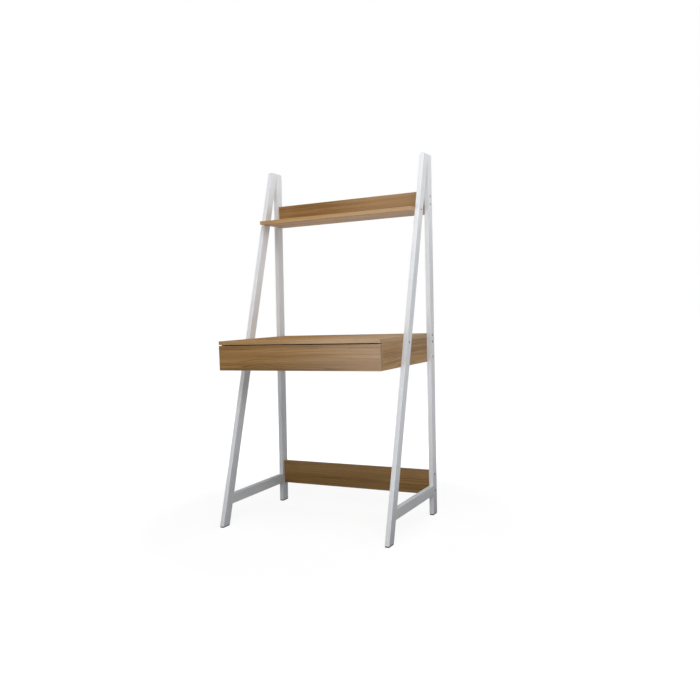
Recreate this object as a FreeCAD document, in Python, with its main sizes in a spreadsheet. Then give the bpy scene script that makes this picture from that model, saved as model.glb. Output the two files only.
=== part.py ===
import FreeCAD, Part
import math
import os
import re

import Sketcher

# Ladder desk: two A-shaped side frames carry a desk box with a drawer, an upper shelf and a low back panel.
# Millimetres. X runs to the right, Y to the back, Z up, origin on the floor under the middle of the desk.

# Driving sizes, one named value each

FRAME_SIZES = {
    "desk_width": 760,
    "frame_height": 1512,
    "foot_spread": 507,
    "rear_setback": 52,
    "leg_thick": 19,
    "leg_depth": 42,
    "leg_ease": 1.5,
    "apex_joint": 16,
    "pad_thick": 4,
    "pad_inset": 1,
    "rail_bottom": 85,
    "rail_height": 40,
}

BOARD_SIZES = {
    "board": 15,
    "board_ease": 1,
    "desk_height": 765,
    "case_height": 104,
    "front_set": 21,
    "low_bottom": 84,
    "low_height": 103,
    "shelf_drop": 231,
    "shelf_depth": 190,
    "upright_height": 81,
}

DRAWER_SIZES = {
    "front_thick": 18,
    "front_gap": 4,
    "front_clear": 1,
    "drawer_board": 12,
    "drawer_ease": 0.6,
    "drawer_drop": 12,
    "drawer_rise": 17,
    "drawer_end_gap": 23.5,
    "drawer_travel": 300,
    "bottom_thick": 4,
    "bottom_rise": 8,
    "groove_depth": 6,
    "groove_clear": 0.2,
}

RUNNER_SIZES = {
    "runner_space": 12.5,
    "runner_inset": 2,
    "runner_end_gap": 60.5,
    "runner_height": 35,
    "runner_wall": 1.2,
    "runner_flange": 11,
    "runner_lip": 4.2,
    "inner_tip": 3,
    "ball_size": 5.6,
    "ball_clear": 0.3,
    "ball_depth": 6,
    "ball_pitch": 12,
    "cage_wall": 0.8,
    "cage_clear": 0.4,
    "cage_flange": 9.5,
    "cage_margin": 2,
    "cage_hole_clear": 0.1,
}

FASTENER_SIZES = {
    "bolt_size": 6,
    "bolt_head": 11,
    "bolt_head_height": 3,
    "bolt_socket": 4,
    "socket_depth": 2,
    "bolt_sink": 3.5,
    "case_bolt_edge": 20,
    "low_bolt_edge": 17,
    "upright_bolt_edge": 24,
    "bolt_bite": 40,
    "bolt_tip_gap": 2,
    "bolt_drop": 10,
    "hole_clear": 0.25,
    "thread_clear": 0.05,
    "nut_size": 10,
    "nut_length": 12,
    "nut_set": 32,
    "insert_length": 14,
    "dowel_size": 8,
    "dowel_ease": 1,
    "dowel_bite": 20,
    "leg_bite": 14,
    "dowel_end_gap": 0.5,
    "dowel_edge": 12,
    "shallow_bite": 9,
    "front_dowel_size": 6,
    "seat_clear": 0.1,
    "cam_size": 15,
    "cam_height": 10,
    "cam_set": 24,
    "cam_slot": 2,
    "cam_slot_length": 10,
    "cam_pin": 6,
    "cam_pin_bite": 10,
    "screw_size": 3.5,
    "screw_head": 7,
    "screw_head_height": 2,
    "screw_slot": 1,
    "runner_screw_bite": 9,
    "long_screw_bite": 30,
}

SIZES = {**FRAME_SIZES, **BOARD_SIZES, **DRAWER_SIZES, **RUNNER_SIZES, **FASTENER_SIZES}

BALLS_PER_ROW = 8
HEX_SIDES = 6

# Places along a piece, as shares of its length
RUNNER_SCREW_SHARES = (0.08, 0.5, 0.92)
DRAWER_SCREW_SHARES = (0.15, 0.42, 0.85)
TOP_DOWEL_SHARES = (0.06, 0.7)
TOP_CAM_SHARES = (0.16, 0.8)
SHELF_SCREW_SHARES = (0.12, 0.5, 0.88)
FRONT_DOWEL_SHARES = (0.36, 0.86)
FRONT_CAM_SHARE = 0.62
BACK_SCREW_SHARES = (0.35, 0.85)

# Values worked out from the driving sizes, in the order they depend on each other

WORKED = {
    # side frames
    "leg_outer": "desk_width / 2",
    "leg_inner": "leg_outer - leg_thick",
    "rear_slope": "rear_setback / frame_height",
    "rear_depth": "leg_depth * sqrt(1 + rear_slope * rear_slope)",
    "crotch": "frame_height - apex_joint",
    "reach": "foot_spread - rear_depth + rear_slope * crotch",
    "reach_long": "sqrt(reach * reach + crotch * crotch - leg_depth * leg_depth)",
    "front_slope": "(reach * crotch - leg_depth * reach_long) / (crotch * crotch - leg_depth * leg_depth)",
    "front_depth": "leg_depth * sqrt(1 + front_slope * front_slope)",
    "front_trim": "front_slope * (pad_thick + leg_ease) + leg_ease * (front_depth / leg_depth - 1)",
    "rear_trim": "rear_slope * leg_ease + leg_ease * (rear_depth / leg_depth - 1)",
    "front_foot": "-(foot_spread + rear_setback + front_trim - rear_trim) / 2",
    "rear_foot": "front_foot + foot_spread - rear_depth",
    "rear_mid": "rear_foot + rear_depth / 2",
    "front_mid": "front_foot + front_depth / 2",
    "rail_top": "rail_bottom + rail_height",
    # desk box
    "case_top": "desk_height - board",
    "case_bottom": "case_top - case_height",
    "case_half": "leg_inner - board",
    "front_face": "front_foot + front_set",
    "front_back": "front_face + front_thick",
    "front_top": "case_top - front_gap",
    "case_front": "front_back + front_clear",
    "back_mid": "rear_mid + rear_slope * (case_bottom + case_height / 2)",
    "case_back": "back_mid + board / 2",
    "case_end": "back_mid - board / 2",
    "desktop_back": "rear_foot + rear_depth + rear_slope * case_top",
    "desktop_mid": "desk_height - board / 2",
    "desktop_bolt_y": "rear_mid + rear_slope * desktop_mid",
    "case_bolt_z": "case_top - bolt_drop",
    "case_bolt_y": "front_mid + front_slope * case_bolt_z",
    # shelf and low panel
    "shelf_top": "frame_height - shelf_drop",
    "shelf_under": "shelf_top - board",
    "shelf_mid": "shelf_top - board / 2",
    "shelf_back": "rear_foot + rear_depth + rear_slope * shelf_under",
    "shelf_front": "shelf_back - shelf_depth",
    "shelf_bolt_y": "front_mid + front_slope * shelf_mid",
    "upright_mid": "rear_mid + rear_slope * (shelf_top + upright_height / 2)",
    "upright_top": "shelf_top + upright_height",
    "low_top": "low_bottom + low_height",
    "low_mid": "rear_mid + rear_slope * (low_bottom + low_height / 2)",
    # drawer
    "drawer_half": "case_half - runner_space",
    "drawer_inner": "drawer_half - drawer_board",
    "drawer_high": "case_top - drawer_drop",
    "drawer_low": "case_bottom + drawer_rise",
    "drawer_height": "drawer_high - drawer_low",
    "drawer_end": "case_end - drawer_end_gap",
    "drawer_back_face": "drawer_end - drawer_board",
    "floor_under": "drawer_low + bottom_rise",
    "floor_top": "floor_under + bottom_thick",
    "groove_far": "drawer_inner + groove_depth",
    "groove_front": "front_back - groove_depth",
    # runners, with depths counted inwards from the side panel
    "runner_front": "case_front + runner_inset",
    "runner_length": "case_end - runner_end_gap - runner_front",
    "runner_z": "drawer_low + drawer_height / 2",
    "runner_half": "runner_height / 2",
    "ball_z": "runner_half - runner_wall - ball_clear - ball_size / 2",
    "inner_half": "ball_z - ball_size / 2 - ball_clear",
    "cage_near": "runner_wall + cage_clear",
    "cage_half": "ball_z + cage_wall / 2",
    "cage_front": "runner_front + drawer_travel / 2 + cage_margin",
    "cage_length": f"ball_pitch * {BALLS_PER_ROW}",
    # fasteners
    "bolt_seat": "leg_outer - bolt_sink",
    "bolt_grip": "leg_thick - bolt_sink",
    "end_bolt": "bolt_grip + bolt_bite",
    "case_end_bolt": "bolt_grip + board + bolt_bite",
    "case_bolt": "bolt_grip + board - bolt_tip_gap",
    "nut_from_end": "leg_inner - nut_set",
    "case_nut_from_end": "case_half - nut_set",
    "cam_pin_length": "cam_set + cam_pin_bite",
    "frame_dowel": "dowel_bite + leg_bite",
    "shallow_dowel": "dowel_bite + shallow_bite",
    "back_screw": "drawer_board + long_screw_bite",
    "shelf_screw": "board + long_screw_bite",
}

Vector = FreeCAD.Vector
Rotation = FreeCAD.Rotation
WORDS = re.compile(r"[a-z_]+")
SIDES = {"left": -1, "right": 1}
QUARTER_TURN = 90

# Turns that bring a fastener's own +Z to the named direction
TO_UP = Rotation()
TO_DOWN = Rotation(Vector(1, 0, 0), 2 * QUARTER_TURN)
TO_BACK = Rotation(Vector(1, 0, 0), -QUARTER_TURN)
TO_FRONT = Rotation(Vector(1, 0, 0), QUARTER_TURN)
TO_RIGHT = Rotation(Vector(0, 1, 0), QUARTER_TURN)
TO_LEFT = Rotation(Vector(0, 1, 0), -QUARTER_TURN)
INWARD = {"left": TO_RIGHT, "right": TO_LEFT}
OUTWARD = {"left": TO_LEFT, "right": TO_RIGHT}

doc = FreeCAD.newDocument("ladder_desk")
nodes = []


def fill_sheet(name, rows):
    """Makes a sheet with one aliased cell for each row of name and content."""
    sheet = doc.addObject("Spreadsheet::Sheet", name)
    for row, (alias, content) in enumerate(rows.items(), start=1):
        sheet.set(f"A{row}", content)
        sheet.setAlias(f"A{row}", alias)
    return sheet


def named(text):
    """Puts the sheet's name before each size in an expression."""
    def sheet_of(match):
        word = match.group(0)
        if word in SIZES:
            return f"Sizes.{word}"
        if word in WORKED:
            return f"Worked.{word}"
        return word
    return WORDS.sub(sheet_of, text)


fill_sheet("Sizes", {name: str(value) for name, value in SIZES.items()})
fill_sheet("Worked", {name: f"={named(text)}".replace("Worked.", "") for name, text in WORKED.items()})
doc.recompute()


# Building blocks

def bind(thing, sizes):
    """Binds properties of an object to expressions in the named sizes."""
    for prop, text in sizes.items():
        thing.setExpression(prop, named(text))


def place(thing, x="0", y="0", z="0"):
    """Binds an object's place to expressions in the named sizes."""
    bind(thing, {"Placement.Base.x": x, "Placement.Base.y": y, "Placement.Base.z": z})


def on_side(side, text):
    """Gives an X expression on the left or the right half."""
    return f"{SIDES[side]} * ({text})"


def label(thing, node):
    """Names an object as a node of its own."""
    thing.Label = node
    nodes.append(thing)
    return thing


def outline(body, role, points):
    """Draws a closed outline on one of a body's own planes, each corner bound to its two expressions."""
    plane = next(item for item in body.Origin.OriginFeatures if item.Role == role)
    sketch = body.newObject("Sketcher::SketchObject", f"{body.Name}_outline")
    sketch.AttachmentSupport = [(plane, "")]
    sketch.MapMode = "FlatFace"
    count = len(points)
    ring = [2 * math.pi * index / count for index in range(count)]
    start = [Vector(math.cos(angle), math.sin(angle), 0) for angle in ring]
    for index in range(count):
        sketch.addGeometry(Part.LineSegment(start[index], start[(index + 1) % count]), False)
    for index in range(count):
        sketch.addConstraint(Sketcher.Constraint("Coincident", index, 2, (index + 1) % count, 1))
    for index, corner in enumerate(points):
        for kind, axis, text in (("DistanceX", "u", corner[0]), ("DistanceY", "v", corner[1])):
            number = sketch.addConstraint(Sketcher.Constraint(kind, -1, 1, index, 1, 1))
            sketch.renameConstraint(number, f"{axis}{index}")
            sketch.setExpression(f"Constraints.{axis}{index}", named(text))
    return sketch


def padded(name, role, points, length, ease=None, backwards=False):
    """Pads an outline and, where an ease is named, rounds all its edges by it."""
    body = doc.addObject("PartDesign::Body", name)
    sketch = outline(body, role, points)
    pad = body.newObject("PartDesign::Pad", f"{name}_pad")
    pad.Profile = sketch
    pad.Reversed = backwards
    bind(pad, {"Length": length})
    doc.recompute()
    if ease:
        rounding = body.newObject("PartDesign::Fillet", f"{name}_ease")
        rounding.Base = (pad, ["Edge1"])
        rounding.UseAllEdges = True
        bind(rounding, {"Radius": ease})
        doc.recompute()
    return body


def board(name, xs, ys, zs, ease="board_ease"):
    """Makes a flat board between the given limits, with eased edges."""
    corners = [(xs[0], ys[0]), (xs[1], ys[0]), (xs[1], ys[1]), (xs[0], ys[1])]
    body = padded(name, "XY_Plane", corners, f"({zs[1]}) - ({zs[0]})", ease)
    place(body, z=zs[0])
    return body


def block(name, xs, ys, zs):
    """Makes a plain block between the given limits, for a cut."""
    box = doc.addObject("Part::Box", name)
    spans = {"Length": xs, "Width": ys, "Height": zs}
    bind(box, {prop: f"({span[1]}) - ({span[0]})" for prop, span in spans.items()})
    place(box, xs[0], ys[0], zs[0])
    return box


def rod(name, radius, height, z="0"):
    """Makes a cylinder on the Z axis from the given height up."""
    cylinder = doc.addObject("Part::Cylinder", name)
    bind(cylinder, {"Radius": radius, "Height": height})
    place(cylinder, z=z)
    return cylinder


def cone(name, low_radius, high_radius, height, z="0"):
    """Makes a cut cone on the Z axis from the given height up."""
    taper = doc.addObject("Part::Cone", name)
    bind(taper, {"Radius1": low_radius, "Radius2": high_radius, "Height": height})
    place(taper, z=z)
    return taper


def fuse(name, pieces):
    """Joins pieces into one solid."""
    joined = doc.addObject("Part::MultiFuse", name)
    joined.Shapes = pieces
    return joined


def group(name, pieces):
    """Holds separate solids together as one node."""
    held = doc.addObject("Part::Compound", name)
    held.Links = pieces
    return held


def cut(base, *tools):
    """Cuts tools out of a piece, one after the other, and makes sure that each one really cuts."""
    for tool in tools:
        doc.recompute()
        before = base.Shape.Volume
        result = doc.addObject("Part::Cut", f"{base.Name}_cut")
        result.Base = base
        result.Tool = tool
        doc.recompute()
        if result.Shape.Volume >= before:
            raise RuntimeError(f"{tool.Label} cuts nothing from {base.Label}")
        base = result
    return base


def bored(blank, **holes):
    """Cuts groups of holes out of a blank, each group under its own name."""
    return cut(blank, *[group(f"{blank.Name}_{kind}", pieces) for kind, pieces in holes.items()])


def gather(node, pieces):
    """Makes one node of several separate solids."""
    return label(group(f"{node}_group", pieces), node)


def put(master, turn, x="0", y="0", z="0"):
    """Puts one more of a master piece at a place, turned as given."""
    copy = doc.addObject("App::Link", f"{master.Name}_copy")
    copy.LinkedObject = master
    copy.LinkTransform = True
    copy.Placement = FreeCAD.Placement(Vector(), turn)
    place(copy, x, y, z)
    return copy


# Fasteners, each lying on its own Z axis with its head below 0 and its shank above

def make_bolt(name, length):
    """Makes a socket-head bolt and the stepped hole that it sits in."""
    head = rod(f"{name}_head", "bolt_head / 2", "bolt_head_height", "-bolt_head_height")
    shank = rod(f"{name}_shank", "bolt_size / 2", length)
    socket = doc.addObject("Part::Prism", f"{name}_socket")
    socket.Polygon = HEX_SIDES
    bind(socket, {"Circumradius": "bolt_socket / sqrt(3)", "Height": "socket_depth"})
    place(socket, z="-bolt_head_height")
    bolt = cut(fuse(f"{name}_body", [head, shank]), socket)
    sink = rod(f"{name}_sink", "bolt_head / 2 + hole_clear", "bolt_sink", "-bolt_sink")
    bore = rod(f"{name}_bore", "bolt_size / 2 + hole_clear", f"{length} + hole_clear")
    return bolt, fuse(f"{name}_hole", [sink, bore])


def make_nut():
    """Makes a barrel nut, crossed by its bolt along X, and the blind hole that it drops into."""
    barrel = rod("nut_barrel", "nut_size / 2", "nut_length", "-nut_length / 2")
    bore = rod("nut_bore", "bolt_size / 2 + thread_clear", "nut_size", "0")
    bore.Placement = FreeCAD.Placement(Vector(), TO_RIGHT)
    place(bore, x="-nut_size / 2")
    hole = rod("nut_hole", "nut_size / 2 + seat_clear", "(board + nut_length) / 2 + seat_clear",
               "-nut_length / 2 - seat_clear")
    return cut(barrel, bore), hole


def make_insert():
    """Makes a threaded insert, and its hole, from 0 up."""
    sleeve = rod("insert_sleeve", "nut_size / 2", "insert_length")
    bore = rod("insert_bore", "bolt_size / 2 + thread_clear", "insert_length")
    return cut(sleeve, bore), rod("insert_hole", "nut_size / 2 + seat_clear", "insert_length")


def make_dowel(name, size, length):
    """Makes a dowel with tapered ends from 0 up, and its hole with a little room at both ends."""
    radius = f"{size} / 2"
    tip = f"{radius} - dowel_ease"
    lead = cone(f"{name}_lead", tip, radius, "dowel_ease")
    stick = rod(f"{name}_stick", radius, f"{length} - 2 * dowel_ease", "dowel_ease")
    tail = cone(f"{name}_tail", radius, tip, "dowel_ease", f"{length} - dowel_ease")
    hole = rod(f"{name}_hole", f"{radius} + seat_clear", f"{length} + 2 * dowel_end_gap", "-dowel_end_gap")
    return fuse(f"{name}_body", [lead, stick, tail]), hole


def make_cam():
    """Makes a cam disc with a slotted face at 0, a pin that reaches it, and the holes of both."""
    disc = rod("cam_disc_blank", "cam_size / 2", "cam_height")
    slot = block("cam_disc_slot", ("-cam_slot_length / 2", "cam_slot_length / 2"),
                 ("-cam_slot / 2", "cam_slot / 2"), ("0", "cam_slot"))
    ways = []
    for turn, start in ((TO_RIGHT, {"x": "-cam_size / 2"}), (TO_BACK, {"y": "-cam_size / 2"})):
        way = rod("cam_disc_way", "cam_pin / 2 + hole_clear", "cam_size")
        way.Placement = FreeCAD.Placement(Vector(), turn)
        place(way, z="cam_height / 2", **start)
        ways.append(way)
    pin = rod("cam_pin_rod", "cam_pin / 2", "cam_pin_length")
    disc_hole = rod("cam_disc_hole", "cam_size / 2 + seat_clear", "cam_height + seat_clear")
    pin_hole = rod("cam_pin_hole", "cam_pin / 2 + seat_clear", "cam_pin_length + seat_clear")
    return cut(disc, slot, fuse("cam_disc_ways", ways)), pin, disc_hole, pin_hole


def make_screw(name, length, sunk):
    """Makes a screw with a sunk or a raised head, slotted, and its hole."""
    radius = "screw_size / 2"
    shank = rod(f"{name}_shank", radius, length)
    bore = rod(f"{name}_bore", f"{radius} + seat_clear", f"{length} + seat_clear")
    if sunk:
        head = cone(f"{name}_head", "screw_head / 2", radius, "screw_head_height")
        sink = cone(f"{name}_sink", "screw_head / 2 + seat_clear", f"{radius} + seat_clear",
                    "screw_head_height")
        top = "0"
        hole = fuse(f"{name}_hole", [sink, bore])
    else:
        head = rod(f"{name}_head", "screw_head / 2", "screw_head_height", "-screw_head_height")
        top = "-screw_head_height"
        hole = bore
    slot = block(f"{name}_slot", ("-screw_head / 2", "screw_head / 2"), ("-screw_slot / 2", "screw_slot / 2"),
                 (top, f"{top} + screw_slot"))
    return cut(fuse(f"{name}_blank", [head, shank]), slot), hole


end_bolt, end_bolt_hole = make_bolt("end_bolt", "end_bolt")
case_end_bolt, case_end_bolt_hole = make_bolt("case_end_bolt", "case_end_bolt")
case_bolt, case_bolt_hole = make_bolt("case_bolt", "case_bolt")
barrel_nut, nut_hole = make_nut()
insert_nut, insert_hole = make_insert()
frame_dowel, frame_dowel_hole = make_dowel("frame_dowel", "dowel_size", "frame_dowel")
top_dowel, top_dowel_hole = make_dowel("top_dowel", "dowel_size", "shallow_dowel")
front_dowel, front_dowel_hole = make_dowel("front_dowel", "front_dowel_size", "shallow_dowel")
cam_disc, cam_pin, cam_disc_hole, cam_pin_hole = make_cam()
runner_screw, runner_screw_hole = make_screw("runner_screw", "runner_wall + runner_screw_bite", True)
drawer_screw, drawer_screw_hole = make_screw("drawer_screw", "runner_wall + runner_screw_bite", False)
back_screw, back_screw_hole = make_screw("back_screw", "back_screw", True)
shelf_screw, shelf_screw_hole = make_screw("shelf_screw", "shelf_screw", True)


# Where the fasteners go

def end_pair(low, high, edge):
    """Gives the heights of the two bolts in the end of an upright board."""
    return f"{low} + {edge}", f"{high} - {edge}"


BACK_BOLT_HEIGHTS = end_pair("case_bottom", "case_top", "case_bolt_edge")
LOW_BOLT_HEIGHTS = end_pair("low_bottom", "low_top", "low_bolt_edge")
UPRIGHT_BOLT_HEIGHTS = end_pair("shelf_top", "upright_top", "upright_bolt_edge")


def bolts_at(master, side, y, heights):
    """Puts bolts through the outer face of one frame's leg."""
    return [put(master, INWARD[side], on_side(side, "bolt_seat"), y, z) for z in heights]


def upright_nuts(master, half, y, heights):
    """Puts barrel nuts, lying along Y, near both ends of an upright board."""
    return [put(master, TO_BACK, on_side(side, half), y, z) for side in SIDES for z in heights]


def flat_nuts(master, y, z):
    """Puts barrel nuts, standing on end and open below, near both ends of a flat board."""
    return [put(master, TO_DOWN, on_side(side, "nut_from_end"), y, z) for side in SIDES]


def leg_bolt_holes(side, leg):
    """Gives the bolt holes that one leg shares with the boards."""
    if leg == "rear":
        return (
            bolts_at(end_bolt_hole, side, "desktop_bolt_y", ["desktop_mid"])
            + bolts_at(case_end_bolt_hole, side, "back_mid", BACK_BOLT_HEIGHTS)
            + bolts_at(end_bolt_hole, side, "upright_mid", UPRIGHT_BOLT_HEIGHTS)
            + bolts_at(end_bolt_hole, side, "low_mid", LOW_BOLT_HEIGHTS)
        )
    return (
        bolts_at(case_bolt_hole, side, "case_bolt_y", ["case_bolt_z"])
        + bolts_at(end_bolt_hole, side, "shelf_bolt_y", ["shelf_mid"])
    )


def both_sides(maker):
    """Gives one list of what a maker gives for the left and for the right."""
    return [piece for side in SIDES for piece in maker(side)]


def rail_dowels(master, side, legs=("front", "rear")):
    """Puts the dowels that join one side rail to the named legs."""
    joints = {
        "front": "front_foot + front_depth + front_slope * ({z}) - leg_bite",
        "rear": "rear_foot + rear_slope * ({z}) - dowel_bite",
    }
    heights = ("rail_bottom + dowel_edge", "rail_top - dowel_edge")
    middle = on_side(side, "leg_outer - leg_thick / 2")
    return [put(master, TO_BACK, middle, joints[leg].format(z=z), z) for leg in legs for z in heights]


def apex_dowel(master, side):
    """Puts the dowel that joins the two legs at the top."""
    height = "frame_height - apex_joint / 2"
    start = f"rear_foot + rear_slope * ({height}) - frame_dowel / 2"
    return [put(master, TO_BACK, on_side(side, "leg_outer - leg_thick / 2"), start, height)]


def along_case(share):
    """Gives a Y place at a share of the side panel's length."""
    return f"case_front + (case_back - case_front) * {share}"


def top_dowels(master, side):
    """Puts the dowels that stand in a side panel's upper edge."""
    middle = on_side(side, "case_half + board / 2")
    return [put(master, TO_UP, middle, along_case(share), "case_top - dowel_bite")
            for share in TOP_DOWEL_SHARES]


def top_cam_discs(master, side):
    """Puts the cam discs into a side panel's inner face."""
    return [put(master, OUTWARD[side], on_side(side, "case_half"), along_case(share), "case_top - cam_set")
            for share in TOP_CAM_SHARES]


def top_cam_pins(master, side):
    """Puts the cam pins that hang from the desktop into a side panel."""
    x = on_side(side, "case_half + cam_height / 2")
    return [put(master, TO_DOWN, x, along_case(share), "case_top + cam_pin_bite") for share in TOP_CAM_SHARES]


def case_insert(master, side):
    """Puts the insert that takes the front leg's bolt into a side panel's inner face."""
    return [put(master, OUTWARD[side], on_side(side, "case_half"), "case_bolt_y", "case_bolt_z")]


def runner_screws(master, side):
    """Puts the screws that hold a runner's outer member to the case."""
    x = on_side(side, "case_half - runner_wall")
    return [put(master, OUTWARD[side], x, f"runner_front + runner_length * {share}", "runner_z")
            for share in RUNNER_SCREW_SHARES]


def drawer_screws(master, side):
    """Puts the screws that hold a runner's inner member to the drawer."""
    x = on_side(side, "drawer_half + runner_wall")
    return [put(master, INWARD[side], x, f"runner_front + runner_length * {share}", "runner_z")
            for share in DRAWER_SCREW_SHARES]


def drawer_height_at(share):
    """Gives a height at a share of the drawer side's height."""
    return f"drawer_low + drawer_height * {share}"


def front_dowels(master, side):
    """Puts the dowels between a drawer side and the drawer front."""
    x = on_side(side, "drawer_half - drawer_board / 2")
    return [put(master, TO_FRONT, x, "front_back + dowel_bite", drawer_height_at(share))
            for share in FRONT_DOWEL_SHARES]


def front_cam_disc(master, side):
    """Puts the cam disc into a drawer side's inner face."""
    return [put(master, OUTWARD[side], on_side(side, "drawer_inner"), "front_back + cam_set",
                drawer_height_at(FRONT_CAM_SHARE))]


def front_cam_pin(master, side):
    """Puts the cam pin that holds the drawer front."""
    x = on_side(side, "drawer_inner + cam_height / 2")
    return [put(master, TO_BACK, x, "front_back - cam_pin_bite", drawer_height_at(FRONT_CAM_SHARE))]


def back_screws(master, side):
    """Puts the screws through a drawer side into the end of the drawer back."""
    return [put(master, INWARD[side], on_side(side, "drawer_half"), "drawer_end - drawer_board / 2",
                drawer_height_at(share)) for share in BACK_SCREW_SHARES]


def shelf_screws(master):
    """Puts the screws that rise through the shelf into the upright board."""
    return [put(master, TO_UP, f"leg_inner * 2 * {share} - leg_inner", "upright_mid", "shelf_under")
            for share in SHELF_SCREW_SHARES]


# Side frames

def front_leg_outline():
    """Gives the side view of a front leg, trimmed along the rear leg at the top."""
    foot = "front_foot + front_slope * pad_thick"
    return [
        (foot, "pad_thick"),
        (f"{foot} + front_depth", "pad_thick"),
        ("rear_foot + rear_slope * crotch", "crotch"),
        ("rear_foot + rear_setback", "frame_height"),
        ("front_foot + front_slope * frame_height", "frame_height"),
    ]


def rear_leg_outline():
    """Gives the side view of a rear leg."""
    foot = "rear_foot + rear_slope * pad_thick"
    top = "rear_foot + rear_setback"
    return [
        (foot, "pad_thick"),
        (f"{foot} + rear_depth", "pad_thick"),
        (f"{top} + rear_depth", "frame_height"),
        (top, "frame_height"),
    ]


def rail_outline():
    """Gives the side view of a side rail, its ends cut to the slant of the legs."""
    front = "front_foot + front_depth + front_slope * {z}"
    rear = "rear_foot + rear_slope * {z}"
    corners = (front, "rail_bottom"), (rear, "rail_bottom"), (rear, "rail_top"), (front, "rail_top")
    return [(line.format(z=z), z) for line, z in corners]


def frame_near(side):
    """Gives the X of a frame's left face."""
    return "leg_inner" if side == "right" else "-leg_outer"


def make_frame(side):
    """Makes one side frame: two legs, a rail and two foot pads."""
    for leg, points in (("front", front_leg_outline()), ("rear", rear_leg_outline())):
        name = f"{side}_{leg}_leg"
        blank = padded(f"{name}_blank", "YZ_Plane", points, "leg_thick", "leg_ease")
        place(blank, x=frame_near(side))
        dowels = rail_dowels(frame_dowel_hole, side, (leg,)) + apex_dowel(frame_dowel_hole, side)
        label(bored(blank, bolts=leg_bolt_holes(side, leg), dowels=dowels), name)
    rail = padded(f"{side}_rail_blank", "YZ_Plane", rail_outline(), "leg_thick", "leg_ease")
    place(rail, x=frame_near(side))
    label(bored(rail, dowels=rail_dowels(frame_dowel_hole, side)), f"{side}_side_rail")
    for leg in ("front", "rear"):
        start = f"{leg}_foot + {leg}_slope * pad_thick"
        across = (f"{frame_near(side)} + pad_inset", f"{frame_near(side)} + leg_thick - pad_inset")
        along = (f"{start} + pad_inset", f"{start} + {leg}_depth - pad_inset")
        pad = board(f"{side}_{leg}_pad", across, along, ("0", "pad_thick"), "pad_inset")
        label(pad, f"{side}_{leg}_foot_pad")


for frame_side in SIDES:
    make_frame(frame_side)
gather("rail_dowels", both_sides(lambda side: rail_dowels(frame_dowel, side)))
gather("apex_dowels", both_sides(lambda side: apex_dowel(frame_dowel, side)))


# Desk box

FULL_WIDTH = ("-leg_inner", "leg_inner")
CASE_WIDTH = ("-case_half", "case_half")
CASE_HEIGHT = ("case_bottom", "case_top")

desktop = board("desktop_blank", FULL_WIDTH, ("front_face", "desktop_back"), ("case_top", "desk_height"))
label(bored(desktop,
            bolts=both_sides(lambda side: bolts_at(end_bolt_hole, side, "desktop_bolt_y", ["desktop_mid"])),
            nuts=flat_nuts(nut_hole, "desktop_bolt_y", "desktop_mid"),
            dowels=both_sides(lambda side: top_dowels(top_dowel_hole, side)),
            pins=both_sides(lambda side: top_cam_pins(cam_pin_hole, side))), "desktop")

for panel_side in SIDES:
    near, far = ("case_half", "leg_inner") if panel_side == "right" else ("-leg_inner", "-case_half")
    panel = board(f"{panel_side}_panel_blank", (near, far), ("case_front", "case_back"), CASE_HEIGHT)
    label(bored(panel,
                back_bolts=bolts_at(case_end_bolt_hole, panel_side, "back_mid", BACK_BOLT_HEIGHTS),
                leg_bolt=bolts_at(case_bolt_hole, panel_side, "case_bolt_y", ["case_bolt_z"]),
                insert=case_insert(insert_hole, panel_side),
                discs=top_cam_discs(cam_disc_hole, panel_side),
                pins=top_cam_pins(cam_pin_hole, panel_side),
                dowels=top_dowels(top_dowel_hole, panel_side),
                screws=runner_screws(runner_screw_hole, panel_side)), f"desk_{panel_side}_panel")

back_panel = board("back_panel_blank", CASE_WIDTH, ("case_end", "case_back"), CASE_HEIGHT)
label(bored(back_panel,
            bolts=both_sides(lambda side: bolts_at(case_end_bolt_hole, side, "back_mid", BACK_BOLT_HEIGHTS)),
            nuts=upright_nuts(nut_hole, "case_nut_from_end", "back_mid", BACK_BOLT_HEIGHTS)),
      "desk_back_panel")

gather("desk_bolts", both_sides(
    lambda side: bolts_at(end_bolt, side, "desktop_bolt_y", ["desktop_mid"])
    + bolts_at(case_end_bolt, side, "back_mid", BACK_BOLT_HEIGHTS)
    + bolts_at(case_bolt, side, "case_bolt_y", ["case_bolt_z"])))
gather("desk_barrel_nuts", flat_nuts(barrel_nut, "desktop_bolt_y", "desktop_mid")
       + upright_nuts(barrel_nut, "case_nut_from_end", "back_mid", BACK_BOLT_HEIGHTS))
gather("desk_insert_nuts", both_sides(lambda side: case_insert(insert_nut, side)))
gather("desktop_dowels", both_sides(lambda side: top_dowels(top_dowel, side)))
gather("desktop_cam_discs", both_sides(lambda side: top_cam_discs(cam_disc, side)))
gather("desktop_cam_pins", both_sides(lambda side: top_cam_pins(cam_pin, side)))


# Upper shelf and low back panel

shelf = board("shelf_blank", FULL_WIDTH, ("shelf_front", "shelf_back"), ("shelf_under", "shelf_top"))
label(bored(shelf,
            bolts=both_sides(lambda side: bolts_at(end_bolt_hole, side, "shelf_bolt_y", ["shelf_mid"])),
            nuts=flat_nuts(nut_hole, "shelf_bolt_y", "shelf_mid"),
            screws=shelf_screws(shelf_screw_hole)), "shelf_board")

upright = board("upright_blank", FULL_WIDTH, ("upright_mid - board / 2", "upright_mid + board / 2"),
                ("shelf_top", "upright_top"))
label(bored(upright,
            bolts=both_sides(lambda side: bolts_at(end_bolt_hole, side, "upright_mid", UPRIGHT_BOLT_HEIGHTS)),
            nuts=upright_nuts(nut_hole, "nut_from_end", "upright_mid", UPRIGHT_BOLT_HEIGHTS),
            screws=shelf_screws(shelf_screw_hole)), "shelf_upright")

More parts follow.
